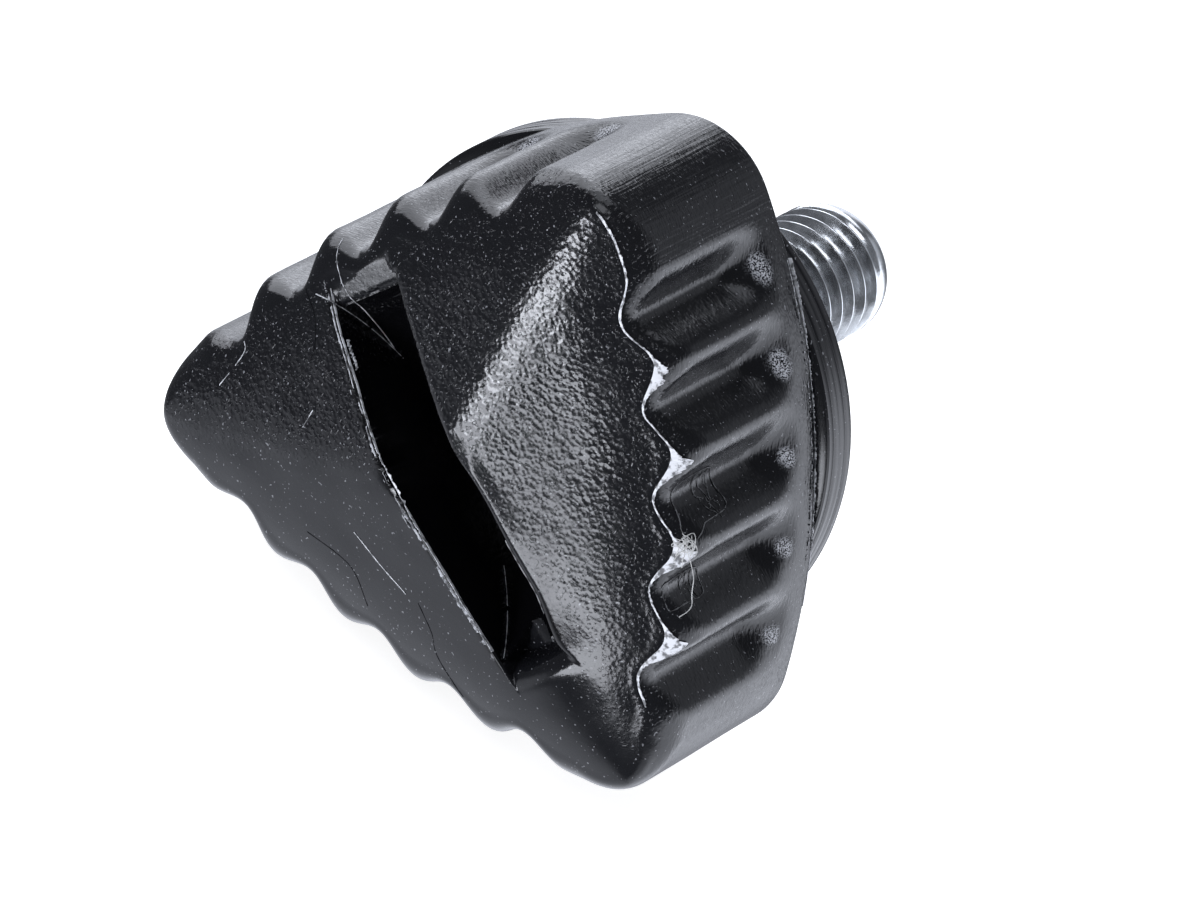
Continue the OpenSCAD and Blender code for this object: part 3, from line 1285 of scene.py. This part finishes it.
def painted_highlight_film(colours, name, brightness):
    """Thin flash, mottled from bright to dark: a painted highlight, whose pale colour stands in
    for the light that thin strips catch.
    """
    material = bpy.data.materials.new(name)
    tree = blank_tree(material)
    cloud = stretched_noise(tree, EVEN, 2500, 3)
    high = tuple(brightness * c for c in colours.film)
    low = tuple(0.22 * c for c in high)
    finish_shader(tree, {
        "Base Color": mix_colour(tree, map_range(tree, cloud, 0.38, 0.54), low, high),
        "Roughness": map_range(tree, cloud, 0.3, 0.7, 0.25, 0.5),
        "Normal": bump(tree, stretched_noise(tree, EVEN, 7000, 2), 0.6, 0.03 * MM),
    })
    return material


def zinc_material(colours):
    """Bright zinc plating, a little clouded and brushed round the thread."""
    material = bpy.data.materials.new("zinc_plate")
    tree = blank_tree(material)
    cloud = stretched_noise(tree, EVEN, 900, 4)
    dull = tuple(0.72 * c for c in colours.zinc)
    finish_shader(tree, {
        "Base Color": mix_colour(tree, map_range(tree, cloud, 0.35, 0.65), dull, colours.zinc),
        "Metallic": 0.93,
        "Roughness": map_range(tree, cloud, 0.3, 0.7, 0.1, 0.24),
        "Normal": bump(tree, stretched_noise(tree, (1, 0.4, 1), 6000, 3), 0.4, 0.012 * MM),
    })
    return material


def lint_material(colours):
    """Pale fibres, a little uneven in colour."""
    material = bpy.data.materials.new("lint_fibre")
    tree = blank_tree(material)
    cloud = stretched_noise(tree, EVEN, 1500, 2)
    low = tuple(0.7 * c for c in colours.lint)
    finish_shader(tree, {
        "Base Color": mix_colour(tree, map_range(tree, cloud, 0.3, 0.7), low, colours.lint),
        "Roughness": 0.6,
    })
    return material


def finish(piece, material):
    """Gives a piece its only material, and the body that it rides on."""
    piece.data.materials.clear()
    piece.data.materials.append(material)
    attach(piece, BODY)


# ---------------------------------------------------------------- operators


class BOLT_OT_moulded_grip(bpy.types.Operator):
    """Build the three-sided grip with its flutes and coin slot"""

    bl_idname = "bolt.moulded_grip"
    bl_label = "Moulded grip"

    def execute(self, context):
        grip = context.scene.bolt_grip
        cutter = new_object("slot_cutter", lambda bm: slot_cutter(bm, grip))
        piece = new_piece("moulded_grip", lambda bm: loft_grip(bm, grip))
        cut = piece.modifiers.new("slot", "BOOLEAN")
        cut.operation = "DIFFERENCE"
        cut.solver = "EXACT"
        cut.object = cutter
        apply_modifiers(piece)
        bpy.data.objects.remove(cutter)
        for vertex in piece.data.vertices:
            vertex.co = swell_rim(grip, vertex.co)
        shade(piece.data, math.radians(40))
        for name, value_at in (
            ("grain", grain_at),
            ("wall", wall_at),
            ("strokes", strokes_at),
            ("scuff", lambda point: scuff_at(grip, point)),
            # the slot map marks where shade is painted into the colour
            ("slot", lambda point: painted_slot_shade_at(grip, point)),
        ):
            write_map(piece.data, name, value_at)
        finish(piece, plastic_material(context.scene.bolt_colours))
        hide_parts("grip")
        return {"FINISHED"}


class BOLT_OT_collar(bpy.types.Operator):
    """Build the round collar behind the grip"""

    bl_idname = "bolt.collar"
    bl_label = "Collar"

    def execute(self, context):
        grip = context.scene.bolt_grip
        piece = new_piece(
            "seating_collar", lambda bm: turn_collar(bm, grip), math.radians(32)
        )
        finish(piece, bpy.data.materials["black_plastic"])
        return {"FINISHED"}


class BOLT_OT_threaded_stud(bpy.types.Operator):
    """Build the stud with its thread"""

    bl_idname = "bolt.threaded_stud"
    bl_label = "Threaded stud"

    def execute(self, context):
        stud = context.scene.bolt_stud
        piece = new_piece(
            "threaded_stud", lambda bm: cut_thread(bm, stud), math.radians(38)
        )
        finish(piece, zinc_material(context.scene.bolt_colours))
        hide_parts("threaded_bolt")
        return {"FINISHED"}


class BOLT_OT_flash(bpy.types.Operator):
    """Build the torn flash along the mould's parting lines"""

    bl_idname = "bolt.flash"
    bl_label = "Mould flash"

    def execute(self, context):
        grip = context.scene.bolt_grip
        # the pale film paints the glints of the flash, the bright scratches and the hair; the
        # dull film paints a fainter sheen on the mould's rings
        pale = painted_highlight_film(context.scene.bolt_colours, "flash_painted_glint", 1.0)
        dull = painted_highlight_film(context.scene.bolt_colours, "dull_painted_sheen", 0.16)
        black = bpy.data.materials["black_plastic"]
        surface = surface_of(bpy.data.objects["moulded_grip"])
        for name, material, builder in (
            ("edge_flash", pale, lambda bm: edge_flash(bm, grip, 0, 3)),
            ("slot_rim_flash", pale, lambda bm: rim_flash(bm, grip)),
            ("slot_end_flash", pale, lambda bm: slot_lines(bm, grip, surface)),
            ("collar_flash", pale, lambda bm: collar_flash(bm, grip, 0)),
            ("bright_scratches", pale, lambda bm: scratches(bm, surface, BRIGHT_SCRATCHES)),
            ("faint_scratches", black, lambda bm: scratches(bm, surface, FAINT_SCRATCHES)),
            ("moulding_rings", dull, lambda bm: moulding_rings(bm, surface)),
        ):
            piece = new_piece(name, builder)
            thicken(piece, 0.025 * MM)
            finish(piece, material)
        return {"FINISHED"}


class BOLT_OT_lint(bpy.types.Operator):
    """Build the loose fibres caught on the flash"""

    bl_idname = "bolt.lint"
    bl_label = "Lint"

    def execute(self, context):
        piece = new_piece("lint", lint_knot)
        thicken(piece, 0.03 * MM)
        finish(piece, lint_material(context.scene.bolt_colours))
        return {"FINISHED"}


class BOLT_OT_stage(bpy.types.Operator):
    """Build the studio: camera, floor, lamps and surroundings"""

    bl_idname = "bolt.stage"
    bl_label = "Stage"

    def execute(self, context):
        place_camera(context.scene)
        lay_floor(context.scene)
        hang_lamps()
        light_surroundings(context.scene)
        return {"FINISHED"}


# ---------------------------------------------------------------- stage

LAMP_DISTANCE = 0.5
# name, azimuth and elevation in degrees, width and height in metres, brightness
SOFT_BOXES = (
    ("low_front", -1, -23.5, 0.36, 0.1, 9.3),
    ("ridge_strip", -11, -11.6, 0.17, 0.075, 21.0),
    ("top", 0, 50, 0.25, 0.31, 2.2),
    ("back_left", -120, 26, 0.57, 0.46, 2.6),
)
# azimuth, elevation, inner and outer angle of a soft patch of the surroundings, brightness
SKY_PATCHES = (
    (112, -22, 26, 55, 2.3),
    (-110, -82, 25, 50, 0.9),
    (-48, -38, 6, 20, 0.75),
    (152, 26, 8, 28, 0.3),
    (62, -41, 14, 26, 0.85),
    (120, 10, 10, 30, 0.6),
    (-152, -4, 8, 30, 1.15),
    (-122, 64, 12, 32, 1.5),
    (160, -55, 15, 40, 0.5),
)


CAMERA_PLACE = Vector((150.16, -404.95, 283.07)) * MM
# the camera's right, up and back
CAMERA_AXES = (
    (0.74179, 0.54800, 0.38658),
    (-0.60572, 0.30006, 0.73693),
    (0.28784, -0.78080, 0.55452),
)
LAMP_COLOUR = (0.89, 0.92, 1.0)
SKY_COLOUR = (0.87, 0.905, 1.0, 1)
# brightness of the surroundings between the soft patches
SKY_BASE = 0.12


def place_camera(scene):
    """A long lens above the front corner of the bolt."""
    data = bpy.data.cameras.new("camera")
    data.sensor_width = 36
    data.lens = 278.41
    data.clip_start, data.clip_end = 0.01, 5
    camera = add_object("camera", data)
    turn = Matrix(CAMERA_AXES).transposed().to_4x4()
    camera.matrix_world = Matrix.Translation(CAMERA_PLACE) @ turn
    scene.camera = camera


def floor_sheet(bm):
    """A flat sheet just under the bolt."""
    bmesh.ops.create_grid(bm, x_segments=1, y_segments=1, size=1.5)
    bmesh.ops.translate(bm, verts=bm.verts, vec=(0, 0, CAD_LOW.z - 0.02 * MM))


def lay_floor(scene):
    """A pale floor that the camera sees brighter than the light on it, with no reflection."""
    floor = new_object("floor", floor_sheet)
    material = bpy.data.materials.new("floor")
    tree = blank_tree(material)
    paper = node(tree, "ShaderNodeBsdfDiffuse", {"Color": (*scene.bolt_colours.floor, 1)})
    seen = node(tree, "ShaderNodeLightPath").outputs["Is Camera Ray"]
    strength = math_node(tree, "MULTIPLY", seen, 0.86)
    glow = node(tree, "ShaderNodeEmission", {"Strength": strength})
    inputs = {0: paper.outputs["BSDF"], 1: glow.outputs["Emission"]}
    both = node(tree, "ShaderNodeAddShader", inputs).outputs["Shader"]
    node(tree, "ShaderNodeOutputMaterial", {"Surface": both})
    floor.data.materials.append(material)
    floor.visible_glossy = False
    floor.visible_shadow = False


def heading(azimuth, elevation):
    """A direction from its azimuth, from the front towards +X, and its elevation."""
    a, e = math.radians(azimuth), math.radians(elevation)
    return Vector((math.sin(a) * math.cos(e), -math.cos(a) * math.cos(e), math.sin(e)))


def hang_lamps():
    """Soft boxes round the bolt, each given by its direction, size and brightness."""
    for name, azimuth, elevation, width, height, brightness in SOFT_BOXES:
        data = bpy.data.lights.new(name, "AREA")
        data.shape = "RECTANGLE"
        data.size, data.size_y = width, height
        data.energy = brightness * math.pi * width * height
        data.color = LAMP_COLOUR
        lamp = add_object(name, data)
        towards = heading(azimuth, elevation)
        lamp.location = towards * LAMP_DISTANCE
        lamp.rotation_euler = towards.to_track_quat("Z", "Y").to_euler()
        lamp.visible_camera = False


def light_surroundings(scene):
    """White for the camera; for reflections, soft light and dark panels round the studio."""
    scene.world = bpy.data.worlds.new("studio")
    tree = blank_tree(scene.world)
    place = node(tree, "ShaderNodeTexCoord").outputs["Generated"]
    total = SKY_BASE
    for azimuth, elevation, inner, outer, brightness in SKY_PATCHES:
        inputs = {0: place, 1: heading(azimuth, elevation)}
        near = node(tree, "ShaderNodeVectorMath", inputs, operation="DOT_PRODUCT")
        low, high = math.cos(math.radians(outer)), math.cos(math.radians(inner))
        patch = map_range(tree, near.outputs["Value"], low, high, 0.0, brightness)
        total = math_node(tree, "ADD", patch, total)
    glow = node(tree, "ShaderNodeBackground", {"Color": SKY_COLOUR, "Strength": total})
    white = node(tree, "ShaderNodeBackground")
    seen = node(tree, "ShaderNodeLightPath").outputs["Is Camera Ray"]
    inputs = {0: seen, 1: glow.outputs["Background"], 2: white.outputs["Background"]}
    blend = node(tree, "ShaderNodeMixShader", inputs).outputs["Shader"]
    node(tree, "ShaderNodeOutputWorld", {"Surface": blend})


# ---------------------------------------------------------------- panel and registration


class BOLT_PT_sidebar(bpy.types.Panel):
    """The steps that build the bolt"""

    bl_label = "Fairing bolt"
    bl_space_type = "VIEW_3D"
    bl_region_type = "UI"
    bl_category = "Fairing bolt"

    def draw(self, context):
        for operator in OPERATORS:
            self.layout.operator(operator.bl_idname)


OPERATORS = (
    BOLT_OT_moulded_grip,
    BOLT_OT_collar,
    BOLT_OT_threaded_stud,
    BOLT_OT_flash,
    BOLT_OT_lint,
    BOLT_OT_stage,
)
CLASSES = (GripSizes, StudSizes, FinishColours, *OPERATORS, BOLT_PT_sidebar)
SETTINGS = (
    ("bolt_grip", GripSizes),
    ("bolt_stud", StudSizes),
    ("bolt_colours", FinishColours),
)


def register():
    for cls in CLASSES:
        bpy.utils.register_class(cls)
    for name, group in SETTINGS:
        setattr(bpy.types.Scene, name, PointerProperty(type=group))


def unregister():
    for name, _ in SETTINGS:
        delattr(bpy.types.Scene, name)
    for cls in reversed(CLASSES):
        bpy.utils.unregister_class(cls)


def main():
    register()
    bpy.context.scene.view_settings.view_transform = "Standard"
    bpy.ops.bolt.moulded_grip()
    bpy.ops.bolt.collar()
    bpy.ops.bolt.threaded_stud()
    bpy.ops.bolt.flash()
    bpy.ops.bolt.lint()
    bpy.ops.bolt.stage()


if __name__ == "__main__":
    main()
